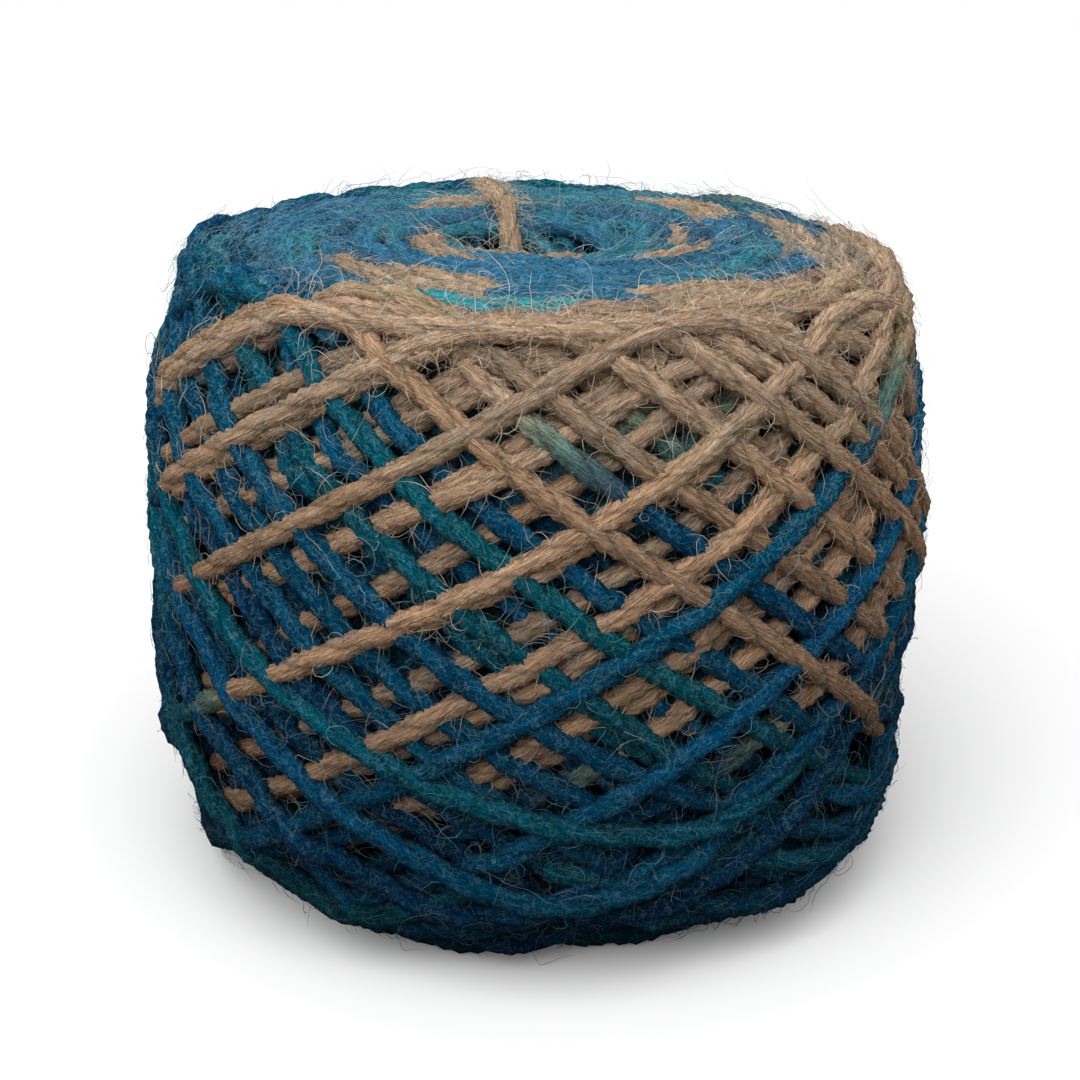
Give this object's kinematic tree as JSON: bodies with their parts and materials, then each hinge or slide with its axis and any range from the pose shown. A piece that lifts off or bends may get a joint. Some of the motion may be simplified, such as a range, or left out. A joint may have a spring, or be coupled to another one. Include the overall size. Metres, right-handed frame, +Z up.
{
  "type": "yarn cake",
  "caption": "Squat drum of crosswise-wound wool yarn with a through centre bore and a loose centre-pull end lying across the top.",
  "frame": {"origin": "on the surface the cake stands on, under the middle of the wound body", "axes": "+Z up along the centre bore, -Y towards the front, +X to the right"},
  "size_m": [0.0996, 0.1004, 0.083],
  "materials": {
    "wound_wool": "fuzzy two-ply wool, dyed in long stretches of tan, deep blue and teal",
    "tail_wool": "fuzzy two-ply wool, tan"
  },
  "bodies": {
    "root": {"wound_yarn": "wound_wool", "centre_tail": "tail_wool"}
  },
  "joints": []
}
